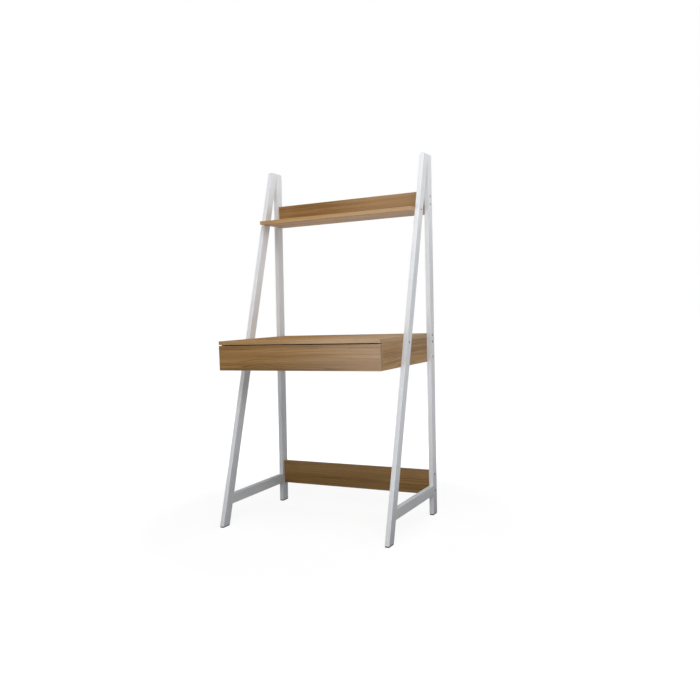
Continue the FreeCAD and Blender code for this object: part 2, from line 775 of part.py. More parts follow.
low_panel = board("low_panel_blank", FULL_WIDTH, ("low_mid - board / 2", "low_mid + board / 2"),
                  ("low_bottom", "low_top"))
label(bored(low_panel,
            bolts=both_sides(lambda side: bolts_at(end_bolt_hole, side, "low_mid", LOW_BOLT_HEIGHTS)),
            nuts=upright_nuts(nut_hole, "nut_from_end", "low_mid", LOW_BOLT_HEIGHTS)), "low_back_panel")

gather("shelf_bolts", both_sides(
    lambda side: bolts_at(end_bolt, side, "shelf_bolt_y", ["shelf_mid"])
    + bolts_at(end_bolt, side, "upright_mid", UPRIGHT_BOLT_HEIGHTS)))
gather("shelf_barrel_nuts", flat_nuts(barrel_nut, "shelf_bolt_y", "shelf_mid")
       + upright_nuts(barrel_nut, "nut_from_end", "upright_mid", UPRIGHT_BOLT_HEIGHTS))
gather("shelf_screws", shelf_screws(shelf_screw))
gather("low_panel_bolts", both_sides(lambda side: bolts_at(end_bolt, side, "low_mid", LOW_BOLT_HEIGHTS)))
gather("low_panel_barrel_nuts", upright_nuts(barrel_nut, "nut_from_end", "low_mid", LOW_BOLT_HEIGHTS))


# Drawer

GROOVE_HEIGHT = ("floor_under - groove_clear", "floor_top + groove_clear")
DRAWER_SPAN = ("front_back", "drawer_end")

front = board("front_blank", FULL_WIDTH, ("front_face", "front_back"), ("case_bottom", "front_top"))
front_groove = block("front_groove", ("-groove_far", "groove_far"), ("groove_front", "front_back"),
                     GROOVE_HEIGHT)
label(bored(cut(front, front_groove),
            dowels=both_sides(lambda side: front_dowels(front_dowel_hole, side)),
            pins=both_sides(lambda side: front_cam_pin(cam_pin_hole, side))), "drawer_front")

for drawer_side in SIDES:
    side_span, groove_span = ("drawer_inner", "drawer_half"), ("drawer_inner", "groove_far")
    if drawer_side == "left":
        side_span, groove_span = ("-drawer_half", "-drawer_inner"), ("-groove_far", "-drawer_inner")
    side_board = board(f"drawer_{drawer_side}_blank", side_span, DRAWER_SPAN, ("drawer_low", "drawer_high"),
                       "drawer_ease")
    side_groove = block(f"drawer_{drawer_side}_groove", groove_span, DRAWER_SPAN, GROOVE_HEIGHT)
    label(bored(cut(side_board, side_groove),
                disc=front_cam_disc(cam_disc_hole, drawer_side),
                pin=front_cam_pin(cam_pin_hole, drawer_side),
                dowels=front_dowels(front_dowel_hole, drawer_side),
                back_screws=back_screws(back_screw_hole, drawer_side),
                runner_screws=drawer_screws(drawer_screw_hole, drawer_side)),
          f"drawer_{drawer_side}_side")

rear_board = board("drawer_back_blank", ("-drawer_inner", "drawer_inner"), ("drawer_back_face", "drawer_end"),
                   ("floor_top", "drawer_high"), "drawer_ease")
label(bored(rear_board, screws=both_sides(lambda side: back_screws(back_screw_hole, side))), "drawer_back")
floor_board = board("drawer_floor_blank", ("-groove_far + groove_clear", "groove_far - groove_clear"),
                    ("groove_front + groove_clear", "drawer_end"), ("floor_under", "floor_top"),
                    "drawer_ease")
label(floor_board, "drawer_bottom")
gather("drawer_front_dowels", both_sides(lambda side: front_dowels(front_dowel, side)))
gather("drawer_cam_discs", both_sides(lambda side: front_cam_disc(cam_disc, side)))
gather("drawer_cam_pins", both_sides(lambda side: front_cam_pin(cam_pin, side)))
gather("drawer_back_screws", both_sides(lambda side: back_screws(back_screw, side)))


# Runners

def channel(side, web, tip, half, wall, lip=None):
    """Gives the section of a channel between a web and its two flange tips, with turned lips if named.

    Depths are counted inwards from the side panel, and the section is drawn about the runner's own height.
    """
    inner_web = f"{web} {'-' if web == 'runner_space' else '+'} {wall}"
    upper = [(web, half), (tip, half)]
    if lip:
        turned = f"{half} - {lip}"
        upper += [(tip, turned), (f"{tip} - {wall}", turned), (f"{tip} - {wall}", f"{half} - {wall}")]
    else:
        upper += [(tip, f"{half} - {wall}")]
    upper += [(inner_web, f"{half} - {wall}")]
    lower = [(depth, f"-({height})") for depth, height in reversed(upper)]
    return [(on_side(side, f"case_half - ({depth})"), f"runner_z + {height}")
            for depth, height in upper + lower]


def make_runner(side):
    """Makes one runner: outer member on the case, inner member on the drawer, ball cage and balls between."""
    outer = padded(f"{side}_outer_blank", "XZ_Plane",
                   channel(side, "0", "runner_flange", "runner_half", "runner_wall", "runner_lip"),
                   "runner_length", backwards=True)
    inner = padded(f"{side}_inner_blank", "XZ_Plane",
                   channel(side, "runner_space", "inner_tip", "inner_half", "runner_wall"),
                   "runner_length", backwards=True)
    cage = padded(f"{side}_cage_blank", "XZ_Plane",
                  channel(side, "cage_near", "cage_flange", "cage_half", "cage_wall"),
                  "cage_length", backwards=True)
    for member, start in ((outer, "runner_front"), (inner, "runner_front"), (cage, "cage_front")):
        place(member, y=start)
    ball = doc.addObject("Part::Sphere", f"{side}_ball")
    bind(ball, {"Radius": "ball_size / 2"})
    socket = rod(f"{side}_ball_socket", "ball_size / 2 + cage_hole_clear", "ball_size", "-ball_size / 2")
    doc.recompute()
    x = on_side(side, "case_half - ball_depth")
    seats = [(f"cage_front + ball_pitch * ({number} + 1 / 2)", f"runner_z {row} ball_z")
             for number in range(BALLS_PER_ROW) for row in ("+", "-")]
    label(bored(outer, screws=runner_screws(runner_screw_hole, side)), f"{side}_runner_outer")
    label(bored(inner, screws=drawer_screws(drawer_screw_hole, side)), f"{side}_runner_inner")
    label(bored(cage, balls=[put(socket, TO_UP, x, y, z) for y, z in seats]), f"{side}_ball_cage")
    gather(f"{side}_runner_balls", [put(ball, TO_UP, x, y, z) for y, z in seats])


for runner_side in SIDES:
    make_runner(runner_side)
gather("runner_case_screws", both_sides(lambda side: runner_screws(runner_screw, side)))
gather("runner_drawer_screws", both_sides(lambda side: drawer_screws(drawer_screw, side)))


# Check every object and every node, then write one file for each node

doc.recompute()
failed = [item.Label for item in doc.Objects if {"Invalid", "Error"} & set(item.State)]
if failed:
    raise RuntimeError(f"failed objects: {failed}")
for node in nodes:
    if node.Shape.isNull() or not node.Shape.isValid() or not node.Shape.Solids:
        raise RuntimeError(f"bad shape: {node.Label}")

os.makedirs("parts", exist_ok=True)
for node in nodes:
    node.Shape.exportStep(f"parts/{node.Label}.step")
print(f"{len(nodes)} nodes, {sum(len(node.Shape.Solids) for node in nodes)} solids")
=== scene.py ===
"""Looks of a ladder desk: two white A-frames carry an oak-effect desk box, an upper shelf and a low panel.

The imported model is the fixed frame. Its boards and legs keep their solids and get finishes made of nodes, and the
small hardware is modelled again, finer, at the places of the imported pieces.
"""

from __future__ import annotations

import logging
import math
from dataclasses import dataclass, field, replace
from enum import Enum
from typing import Union

import bmesh
import bpy
from mathutils import Matrix, Vector


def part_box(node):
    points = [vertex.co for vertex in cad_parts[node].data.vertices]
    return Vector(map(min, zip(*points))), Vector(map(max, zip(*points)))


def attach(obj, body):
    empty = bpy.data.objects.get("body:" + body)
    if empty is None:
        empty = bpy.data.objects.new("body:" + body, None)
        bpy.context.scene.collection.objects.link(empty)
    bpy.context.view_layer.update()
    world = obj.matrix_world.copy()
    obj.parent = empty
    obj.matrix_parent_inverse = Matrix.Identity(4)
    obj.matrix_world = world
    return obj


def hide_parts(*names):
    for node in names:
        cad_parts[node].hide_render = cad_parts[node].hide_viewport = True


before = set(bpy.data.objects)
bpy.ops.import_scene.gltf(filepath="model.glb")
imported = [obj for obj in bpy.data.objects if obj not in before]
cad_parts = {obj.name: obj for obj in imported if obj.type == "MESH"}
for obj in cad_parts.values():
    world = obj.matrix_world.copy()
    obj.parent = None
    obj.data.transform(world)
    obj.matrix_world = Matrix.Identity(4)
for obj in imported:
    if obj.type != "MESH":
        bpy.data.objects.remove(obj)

LOG = logging.getLogger("ladder_desk")
MM = 0.001
Socket = bpy.types.NodeSocket
Material = bpy.types.Material
Place = tuple[Socket, Socket, Socket]
Value = Union[Socket, float, tuple]
Shape = bmesh.types.BMesh
Face = bmesh.types.BMFace
Range = tuple[float, float]
Triple = tuple[float, float, float]
Colour = Triple
WHITE: Colour = (1.0, 1.0, 1.0)

# The span that holds most of a cloudy pattern, and those in which a pattern begins to show.
MID: Range = (0.3, 0.7)
PORE_SPAN: Range = (0.54, 0.62)
PALE_SPAN: Range = (0.4, 0.66)
DARK_SPAN: Range = (0.32, 0.5)
CLEAR_SPAN: Range = (0.36, 0.66)

# Between these parts of half a board's length a painted sheen makes it paler, and this near its arrises a painted
# highlight lightens it.
SHEEN_SPAN: Range = (-0.5, 0.6)
HIGHLIGHT_SPAN: Range = (0.2 * MM, 1.6 * MM)

# How much of its seed each part of a board's place is moved by.
SEED_PARTS: Triple = (1.0, 0.37, 0.61)

# The opening of a head, from its mouth to its ground: the parts of its size and of its depth.
OPENING_STEPS: tuple[Range, ...] = ((1.1, 0.0), (1.0, 0.12), (0.9, 1.0))


class Axis(Enum):
    """A direction of the shared frame."""

    X = 0
    Y = 1
    Z = 2


class Facing(Enum):
    """The side to which the heads of a group of fasteners look."""

    OUTWARD = "away from the middle of the desk"
    INWARD = "towards the middle of the desk"
    DOWN = "to the floor"


class Streak(Enum):
    """A kind of streak: how many lie end to end and side by side in a metre, and how many finer layers it has."""

    HAIR = (22.0, 700.0, 2.0)
    FIBRE = (4.0, 150.0, 4.0)
    STRAND = (1.3, 68.0, 3.0)
    BROAD = (0.9, 24.0, 2.0)
    PORE = (55.0, 1300.0, 1.0)
    SWAY = (2.2, 7.0, 2.0)
    UNEVEN = (0.7, 26.0, 1.0)
    CLEAR = (3.0, 30.0, 2.0)


class Recess(Enum):
    """The opening in a fastener's head that a tool turns."""

    NONE = "plain"
    HEX = "six-sided socket"
    CROSS = "cross"

    def reach(self, angle: float, size: float) -> float:
        """Return how far the opening reaches from the axis.

        Args:
            angle: The direction, in radians.
            size: The distance across the socket's flats, or the length of the cross.

        Returns:
            The distance to the opening's edge.
        """
        if self is Recess.HEX:
            return size / 2 / math.cos(angle % (math.pi / 3) - math.pi / 6)
        turn = angle % (math.pi / 2)
        off_arm = min(turn, math.pi / 2 - turn)
        half_arm = size / 9
        return min(size / 2 / math.cos(off_arm), half_arm / max(math.sin(off_arm), 0.05))


def rgba(colour: Colour) -> tuple[float, float, float, float]:
    """Return a colour with full opacity."""
    return (colour[0], colour[1], colour[2], 1.0)


def shade(colour: Colour, factor: float) -> Colour:
    """Return a colour made lighter or darker by a factor."""
    return (colour[0] * factor, colour[1] * factor, colour[2] * factor)


class Graph:
    """The node tree of one finish, built from the surface's own place in the shared frame."""

    def __init__(self, name: str) -> None:
        """Start a tree that holds the surface and the object coordinates.

        Args:
            name: The finish's name.
        """
        self.material = bpy.data.materials.new(name)
        self.material.use_nodes = True
        self.tree = self.material.node_tree
        self.tree.nodes.clear()
        output = self.tree.nodes.new("ShaderNodeOutputMaterial")
        self.surface = self.tree.nodes.new("ShaderNodeBsdfPrincipled")
        self.tree.links.new(self.surface.outputs["BSDF"], output.inputs["Surface"])
        self.place = self.tree.nodes.new("ShaderNodeTexCoord").outputs["Object"]

    def feed(self, socket: Socket, value: Value) -> None:
        """Link a socket to another, or set its value.

        Args:
            socket: The socket that takes the value.
            value: The value, or the socket that it comes from.
        """
        if isinstance(value, bpy.types.NodeSocket):
            self.tree.links.new(value, socket)
        else:
            socket.default_value = value

    def math(self, job: str, first: Value, second: Value = 0.0, clamp: bool = False) -> Socket:
        """Join two values by one sum.

        Args:
            job: The sum, as the Math node names it.
            first: The first value.
            second: The second value, where the sum has one.
            clamp: Whether the result stays between 0 and 1.

        Returns:
            The result.
        """
        node = self.tree.nodes.new("ShaderNodeMath")
        node.operation = job
        node.use_clamp = clamp
        self.feed(node.inputs[0], first)
        self.feed(node.inputs[1], second)
        return node.outputs[0]

    def total(self, *terms: tuple[Value, float]) -> Socket:
        """Add values up.

        Args:
            terms: Each value and its weight.

        Returns:
            The sum.
        """
        result: Value = 0.0
        for value, weight in terms:
            result = self.math("ADD", self.math("MULTIPLY", value, weight), result)
        return result

    def squares(self, first: Socket, second: Socket) -> Socket:
        """Return the sum of two squares."""
        return self.math("ADD", self.math("MULTIPLY", first, first), self.math("MULTIPLY", second, second))

    def parts(self, vector: Socket) -> Place:
        """Take a vector apart.

        Args:
            vector: The vector.

        Returns:
            Its three parts.
        """
        node = self.tree.nodes.new("ShaderNodeSeparateXYZ")
        self.feed(node.inputs[0], vector)
        return node.outputs[0], node.outputs[1], node.outputs[2]

    def stretched(self, place: Place, scale: Triple) -> Socket:
        """Stretch a place that is given by its parts.

        Args:
            place: The parts of the place.
            scale: The stretch of each part.

        Returns:
            The new place.
        """
        node = self.tree.nodes.new("ShaderNodeCombineXYZ")
        for socket, part, factor in zip(node.inputs, place, scale):
            self.feed(socket, self.math("MULTIPLY", part, factor))
        return node.outputs[0]

    def mapped(
        self,
        vector: Socket,
        shift: Triple = (0.0, 0.0, 0.0),
        turn: Triple = (0.0, 0.0, 0.0),
        scale: Triple = (1.0, 1.0, 1.0),
    ) -> Socket:
        """Move, turn and stretch a place before a pattern reads it.

        Args:
            vector: The place.
            shift: What is added to it, after the stretch.
            turn: The turn about each axis, in radians.
            scale: The stretch along each axis.

        Returns:
            The new place.
        """
        node = self.tree.nodes.new("ShaderNodeMapping")
        self.feed(node.inputs["Vector"], vector)
        node.inputs["Location"].default_value = shift
        node.inputs["Rotation"].default_value = turn
        node.inputs["Scale"].default_value = scale
        return node.outputs[0]

    def noise(self, vector: Socket, scale: float = 1.0, detail: float = 2.0, rough: float = 0.5) -> Socket:
        """Return a cloudy value between 0 and 1.

        Args:
            vector: The place that the cloud is read at.
            scale: How many clouds there are to a metre.
            detail: How many finer layers are added.
            rough: How strong the finer layers are.

        Returns:
            The value.
        """
        node = self.tree.nodes.new("ShaderNodeTexNoise")
        self.feed(node.inputs["Vector"], vector)
        node.inputs["Scale"].default_value = scale
        node.inputs["Detail"].default_value = detail
        node.inputs["Roughness"].default_value = rough
        return node.outputs["Fac"]

    def streaks(self, place: Place, kind: Streak) -> Socket:
        """Return cloudy streaks along the grain, between 0 and 1.

        Args:
            place: The pattern's place along, across and through the grain.
            kind: The kind of streak.

        Returns:
            The value.
        """
        along, across, detail = kind.value
        return self.noise(self.stretched(place, (along, across, across)), 1.0, detail, 0.55)

    def spread(self, value: Value, low: float, high: float, to_low: float = 0.0, to_high: float = 1.0) -> Socket:
        """Map a value smoothly from one range to another.

        Args:
            value: The value.
            low: The value that becomes to_low.
            high: The value that becomes to_high.
            to_low: The start of the new range.
            to_high: The end of the new range.

        Returns:
            The new value, held inside the new range.
        """
        node = self.tree.nodes.new("ShaderNodeMapRange")
        node.interpolation_type = "SMOOTHSTEP"
        self.feed(node.inputs["Value"], value)
        node.inputs["From Min"].default_value = low
        node.inputs["From Max"].default_value = high
        node.inputs["To Min"].default_value = to_low
        node.inputs["To Max"].default_value = to_high
        return node.outputs["Result"]

    def ramp(self, value: Value, stops: tuple[tuple[float, Colour], ...]) -> Socket:
        """Return the colour that stands at a value on a ramp.

        Args:
            value: The value.
            stops: The ramp's places and colours, in order.

        Returns:
            The colour.
        """
        node = self.tree.nodes.new("ShaderNodeValToRGB")
        self.feed(node.inputs["Fac"], value)
        elements = node.color_ramp.elements
        while len(elements) < len(stops):
            elements.new(1.0)
        for element, (place, colour) in zip(elements, stops):
            element.position = place
            element.color = rgba(colour)
        return node.outputs["Color"]

    def mix(self, share: Value, first: Value, second: Value, way: str = "MIX") -> Socket:
        """Blend two colours.

        Args:
            share: How much of the second colour is used.
            first: The first colour.
            second: The second colour.
            way: The kind of blend, as the Mix node names it.

        Returns:
            The blended colour.
        """
        node = self.tree.nodes.new("ShaderNodeMix")
        node.data_type = "RGBA"
        node.blend_type = way
        self.feed(node.inputs[0], share)
        for socket, value in ((node.inputs[6], first), (node.inputs[7], second)):
            self.feed(socket, rgba(value) if isinstance(value, tuple) else value)
        return node.outputs[2]

    def choose(self, share: Value, first: Value, second: Value) -> Socket:
        """Blend two plain values.

        Args:
            share: How much of the second value is used.
            first: The first value.
            second: The second value.

        Returns:
            The blended value.
        """
        node = self.tree.nodes.new("ShaderNodeMix")
        node.data_type = "FLOAT"
        self.feed(node.inputs[0], share)
        self.feed(node.inputs[2], first)
        self.feed(node.inputs[3], second)
        return node.outputs[0]

    def relief(self, height: Socket, strength: float, depth: float) -> None:
        """Give the surface a fine relief.

        Args:
            height: The height, between 0 and 1.
            strength: How much of it is seen.
            depth: The depth that a height of 1 stands for, in metres.
        """
        node = self.tree.nodes.new("ShaderNodeBump")
        node.inputs["Strength"].default_value = strength
        node.inputs["Distance"].default_value = depth
        self.feed(node.inputs["Height"], height)
        self.feed(self.surface.inputs["Normal"], node.outputs["Normal"])

    def done(self, colour: Value, rough: Value, metal: float = 0.0, gloss: float = 0.5) -> Material:
        """Set the surface's main values.

        Args:
            colour: The base colour.
            rough: The roughness.
            metal: 1 for bare metal, 0 otherwise.
            gloss: The strength of the plain reflection.

        Returns:
            The finished material.
        """
        self.feed(self.surface.inputs["Base Color"], rgba(colour) if isinstance(colour, tuple) else colour)
        self.feed(self.surface.inputs["Roughness"], rough)
        self.surface.inputs["Metallic"].default_value = metal
        self.surface.inputs["Specular IOR Level"].default_value = gloss
        return self.material


@dataclass(frozen=True)
class OakFoil:
    """Oak-effect foil on a board, with banded edges.

    Attributes:
        name: The finish's name.
        tone_and_painted_light: How light this board is beside the others, partly its own tone and partly painted light
            where its faces are lit more or less than the lamps light them.
        seed: The place in the pattern that this board was cut from.
        heart: Where the middle of a plank's rings lies, across the board and behind its middle, in metres.
        tilt: How fast the rings sink along the grain, which draws their arches out.
        plank: The width of one plank of the pattern, in metres.
        knot: Where the grain bulges, along and across the board from its middle, in metres.
        bulge: How far it bulges there, and over what length and width, in metres.
        sway: How far the grain strays from a straight line, in metres.
        ring: The mean width of a growth ring, in metres.
        uneven: How far the rings' widths differ, in rings.
        painted_sheen: How much paler the board grows towards its far end, a painted sheen in place of reflected light.
        lines: How clearly the ring lines show.
        pores: How clearly the pores show.
        weights: The share of each kind of streak in the fibres.
        soft: How far from the mean a streak is fully dark or pale, so how soft the streaks are.
        edge: How light the edge bands are beside the face.
        cover: How much of a band's colour is its own.
        band: The thickness of the edge bands, in metres.
        seam: Half the width of the seam beside a band, in metres.
        arris_highlight: How pale the painted highlight along the arrises is.
        gloss: The strength of the plain reflection.
        rough: The mean roughness.
        dark: The colour of the darkest fibres.
        middle: The colour of most fibres.
        light: The colour of the palest fibres.
        line: The colour of the ring lines, pores and seams.
        rim: The colour of the edge bands.
        pale: The colour of the painted sheen that the board drifts to.
        highlight_colour: The colour of the painted highlight on the arrises.
    """

    name: str
    tone_and_painted_light: float = 1.0
    seed: float = 0.0
    heart: Range = (0.0, 0.01)
    tilt: float = 0.024
    plank: float = 0.16
    knot: Range = (-0.17, -0.04)
    bulge: Triple = (0.02, 0.055, 0.05)
    sway: float = 0.022
    ring: float = 8.0 * MM
    uneven: float = 1.6
    painted_sheen: float = 0.0
    lines: float = 0.65
    pores: float = 0.6
    weights: tuple[tuple[Streak, float], ...] = ((Streak.HAIR, 0.2), (Streak.STRAND, 0.5), (Streak.FIBRE, 0.3))
    soft: float = 0.1
    edge: float = 1.0
    cover: float = 0.6
    band: float = 0.8 * MM
    seam: float = 0.12 * MM
    arris_highlight: float = 0.5
    gloss: float = 0.5
    rough: float = 0.32
    dark: Colour = (0.20, 0.10, 0.028)
    middle: Colour = (0.28, 0.15, 0.046)
    light: Colour = (0.37, 0.212, 0.078)
    line: Colour = (0.125, 0.055, 0.014)
    rim: Colour = (0.36, 0.235, 0.11)
    pale: Colour = (0.56, 0.40, 0.26)
    highlight_colour: Colour = (0.58, 0.44, 0.3)

    def make(self, low: Vector, high: Vector) -> Material:
        """Build the finish for a board that fills a box.

        Args:
            low: The board's lowest corner.
            high: The board's highest corner.

        Returns:
            The material, with its grain along the board.
        """
        g = Graph(self.name)
        size = high - low
        order = sorted(range(3), key=lambda axis: -size[axis])
        shifted = g.parts(g.mapped(g.place, shift=tuple(-(low + high) / 2)))
        along, across, through = board = tuple(shifted[axis] for axis in order)
        half = [size[axis] / 2 for axis in order]
        to_end, to_side, to_face = (
            g.math("SUBTRACT", reach, g.math("ABSOLUTE", part)) for reach, part in zip(half, board)
        )
        end = g.math("LESS_THAN", to_end, self.band)
        place = tuple(
            g.math("ADD", g.choose(end, on_face, on_end), self.seed * part)
            for on_face, on_end, part in zip(board, (across, through, along), SEED_PARTS)
        )
        rings = self._rings(g, board, place)
        dashes = g.spread(g.streaks(place, Streak.PORE), *PORE_SPAN)
        pores = g.math("MULTIPLY", dashes, g.choose(rings, 0.4, 1.0))
        streak = g.total(*((g.streaks(place, kind), weight) for kind, weight in self.weights))
        line = shade(self.line, self.tone_and_painted_light)
        colour = self._fibres(g, streak, g.streaks(place, Streak.BROAD))
        colour = g.mix(g.math("MULTIPLY", rings, self.lines), colour, line)
        colour = g.mix(g.math("MULTIPLY", pores, self.pores), colour, line)
        edge = g.math("MAXIMUM", end, g.math("LESS_THAN", to_side, self.band))
        colour = g.mix(edge, colour, g.mix(self.cover, colour, shade(self.rim, self.edge)))
        # Painted sheen: the board grows paler and greyer towards its far end, in place of light reflected there.
        sheen_share = g.spread(along, *(half[0] * part for part in SHEEN_SPAN), 0.0, self.painted_sheen)
        colour = g.mix(sheen_share, colour, self.pale)
        to_rim = g.math("MINIMUM", to_end, to_side)
        # Painted highlight: the arrises are made paler where light catches their rounded edges.
        worn = g.spread(g.math("MAXIMUM", to_rim, to_face), *HIGHLIGHT_SPAN, self.arris_highlight, 0.0)
        colour = g.mix(worn, colour, self.highlight_colour)
        seam = g.math("LESS_THAN", g.math("ABSOLUTE", g.math("SUBTRACT", to_rim, self.band)), self.seam)
        colour = g.mix(g.math("MULTIPLY", seam, 0.45), colour, line)
        satin = g.spread(streak, *MID, self.rough + 0.05, self.rough - 0.04)
        g.relief(g.total((streak, 0.5), (pores, -0.6), (rings, -0.15)), 0.35, 0.25 * MM)
        return g.done(colour, g.total((satin, 1.0), (pores, 0.14)), gloss=self.gloss)

    def _fibres(self, g: Graph, streak: Socket, broad: Socket) -> Socket:
        """Colour the fibres, before rings and pores.

        Args:
            g: The finish's tree.
            streak: The fine streaks.
            broad: The broad streaks.

        Returns:
            The colour.
        """
        dark, middle, light = (shade(colour, self.tone_and_painted_light) for colour in (self.dark, self.middle, self.light))
        colour = g.ramp(streak, ((0.5 - self.soft, dark), (0.5, middle), (0.5 + self.soft, light)))
        colour = g.mix(g.spread(broad, *PALE_SPAN, 0.0, 0.55), colour, light)
        return g.mix(g.spread(broad, *DARK_SPAN, 0.5, 0.0), colour, shade(dark, 0.8))

    def _rings(self, g: Graph, board: Place, place: Place) -> Socket:
        """Draw the growth rings as they run out of a plain-sawn plank.

        Args:
            g: The finish's tree.
            board: The place along, across and through the board, from its middle.
            place: The pattern's place along, across and through the grain.

        Returns:
            How dark the ring is at each place, between 0 and 1.
        """
        along, across, through = board
        lift, length, width = self.bulge
        from_knot = g.math("DIVIDE", g.math("SUBTRACT", along, self.knot[0]), length)
        off_knot = g.math("DIVIDE", g.math("SUBTRACT", across, self.knot[1]), width)
        near_knot = g.math("EXPONENT", g.math("MULTIPLY", g.squares(from_knot, off_knot), -1.0))
        strayed = g.math("SUBTRACT", g.streaks(place, Streak.SWAY), 0.5)
        swayed = g.total((place[1], 1.0), (near_knot, -lift), (strayed, self.sway))
        folded = g.math("PINGPONG", g.math("ADD", swayed, self.heart[0]), self.plank)
        from_heart = g.math("SUBTRACT", folded, self.plank * 0.3)
        depth = g.math("ADD", g.total((along, self.tilt), (through, 1.0)), self.heart[1])
        distance = g.math("SQRT", g.squares(from_heart, depth))
        uneven = g.streaks(place, Streak.UNEVEN)
        phase = g.math("FRACT", g.total((distance, 1.0 / self.ring), (uneven, self.uneven)))
        line = g.math("MAXIMUM", g.spread(phase, 0.0, 0.3, 1.0, 0.0), g.spread(phase, 0.93, 1.0))
        return g.math("MULTIPLY", line, g.spread(g.streaks(place, Streak.CLEAR), *CLEAR_SPAN, 0.12, 1.0))


@dataclass(frozen=True)
class WhitePaint:
    """Satin white paint on solid timber, through which the grain still shows a little.

    Attributes:
        name: The finish's name.
        lean: How far the timber leans back from upright, in radians.
        grain: The axis that the timber lies along before it leans.
        colour: The paint's colour.
        streaks: How many streaks of the grain there are to a metre, along and twice across the timber.
        clouds: How many duller patches there are to a metre.
        dimples: How many dimples of the coat there are to a metre.
    """

    name: str
    lean: float = 0.0
    grain: Axis = Axis.Z
    colour: Colour = (0.80, 0.815, 0.838)
    streaks: Triple = (9.0, 330.0, 330.0)
    clouds: float = 7.0
    dimples: float = 750.0

    def make(self) -> Material:
        """Build the finish.

        Returns:
            The material, with its grain along the timber.
        """
        g = Graph(self.name)
        turned = g.parts(g.mapped(g.place, turn=(self.lean, 0.0, 0.0)))
        across = [turned[axis] for axis in range(3) if axis != self.grain.value]
        grain = g.noise(g.stretched((turned[self.grain.value], *across), self.streaks), 1.0, 3.0, 0.6)
        cloud = g.noise(g.place, self.clouds, 3.0, 0.55)
        peel = g.noise(g.place, self.dimples)
        colour = g.mix(g.spread(cloud, *MID), shade(self.colour, 0.965), self.colour)
        colour = g.mix(g.spread(grain, 0.55, 0.8, 0.0, 0.22), colour, shade(self.colour, 0.82))
        rough = g.total((g.spread(cloud, 0.25, 0.75, 0.33, 0.41), 1.0), (grain, 0.06))
        g.relief(g.total((grain, 0.75), (peel, 0.3)), 0.22, 0.2 * MM)
        return g.done(colour, rough, gloss=0.45)


@dataclass(frozen=True)
class PaleFoil:
    """Pale foil on the drawer's inner boards, with a fine cloth-like print.

    Attributes:
        name: The finish's name.
        colour: The foil's colour.
        threads: How many threads lie side by side in a metre.
        slubs: How many thicker places there are in a metre of thread.
    """

    name: str
    colour: Colour = (0.70, 0.665, 0.60)
    threads: float = 900.0
    slubs: float = 40.0

    def make(self) -> Material:
        """Build the finish.

        Returns:
            The material.
        """
        g = Graph(self.name)
        place = g.parts(g.place)
        long_thread = g.noise(g.stretched(place, (self.slubs, self.threads, self.threads)))
        cross_thread = g.noise(g.stretched(place, (self.threads, self.slubs, self.slubs)))
        thread = g.total((long_thread, 0.5), (cross_thread, 0.5))
        cloud = g.noise(g.place, 5.0, 3.0)
        colour = g.mix(g.spread(thread, 0.35, 0.65), shade(self.colour, 0.93), shade(self.colour, 1.05))
        colour = g.mix(g.spread(cloud, *MID, 0.0, 0.35), colour, shade(self.colour, 0.92))
        g.relief(thread, 0.2, 0.12 * MM)
        return g.done(colour, g.spread(thread, *MID, 0.5, 0.6), gloss=0.4)


@dataclass(frozen=True)
class PlatedSteel:
    """Bright or dulled plated steel, drawn or rolled along one axis.

    Attributes:
        name: The finish's name.
        colour: The plating's colour.
        rough: The mean roughness.
        rolled: The axis of the rolling marks.
        metal: 1 for bare plating, less under a coat of lacquer.
        marks: How many rolling marks there are to a metre, along and across them.
    """

    name: str
    colour: Colour = (0.60, 0.61, 0.62)
    rough: float = 0.3
    rolled: Axis = Axis.Y
    metal: float = 1.0
    marks: Range = (14.0, 520.0)

    def make(self) -> Material:
        """Build the finish.

        Returns:
            The material.
        """
        g = Graph(self.name)
        stretch = tuple(self.marks[axis is not self.rolled] for axis in Axis)
        marks = g.noise(g.mapped(g.place, scale=stretch), 1.0, 3.0, 0.55)
        cloud = g.noise(g.place, 60.0, 3.0, 0.55)
        colour = g.mix(g.spread(cloud, *MID), shade(self.colour, 0.82), shade(self.colour, 1.08))
        colour = g.mix(g.spread(marks, 0.5, 0.8, 0.0, 0.3), colour, shade(self.colour, 0.7))
        rolled = g.spread(marks, *MID, self.rough - 0.06, self.rough + 0.08)
        g.relief(marks, 0.12, 0.05 * MM)
        return g.done(colour, g.total((rolled, 1.0), (cloud, 0.05)), metal=self.metal)


@dataclass(frozen=True)
class FootFelt:
    """Dense dark felt under the feet.

    Attributes:
        name: The finish's name.
        colour: The felt's colour.
    """

    name: str
    colour: Colour = (0.028, 0.025, 0.023)

    def make(self) -> Material:
        """Build the finish.

        Returns:
            The material.
        """
        g = Graph(self.name)
        fuzz = g.noise(g.place, 1400.0, 3.0, 0.65)
        cloud = g.noise(g.place, 160.0)
        colour = g.mix(g.spread(fuzz, 0.35, 0.7), shade(self.colour, 0.6), shade(self.colour, 2.2))
        colour = g.mix(g.spread(cloud, 0.4, 0.7, 0.0, 0.4), colour, shade(self.colour, 1.5))
        g.relief(fuzz, 0.5, 0.3 * MM)
        g.surface.inputs["Sheen Weight"].default_value = 0.2
        return g.done(colour, g.spread(fuzz, *MID, 0.82, 0.95), gloss=0.25)


@dataclass(frozen=True)
class Beech:
    """Plain beech of the dowels.

    Attributes:
        name: The finish's name.
        colour: The wood's colour.
    """

    name: str
    colour: Colour = (0.56, 0.38, 0.22)

    def make(self) -> Material:
        """Build the finish.

        Returns:
            The material.
        """
        g = Graph(self.name)
        fleck = g.noise(g.place, 260.0)
        cloud = g.noise(g.place, 90.0, 3.0, 0.6)
        colour = g.mix(g.spread(cloud, *MID), shade(self.colour, 0.85), shade(self.colour, 1.1))
        colour = g.mix(g.spread(fleck, 0.6, 0.75, 0.0, 0.5), colour, shade(self.colour, 0.6))
        g.relief(fleck, 0.25, 0.1 * MM)
        return g.done(colour, g.spread(cloud, *MID, 0.5, 0.62), gloss=0.4)


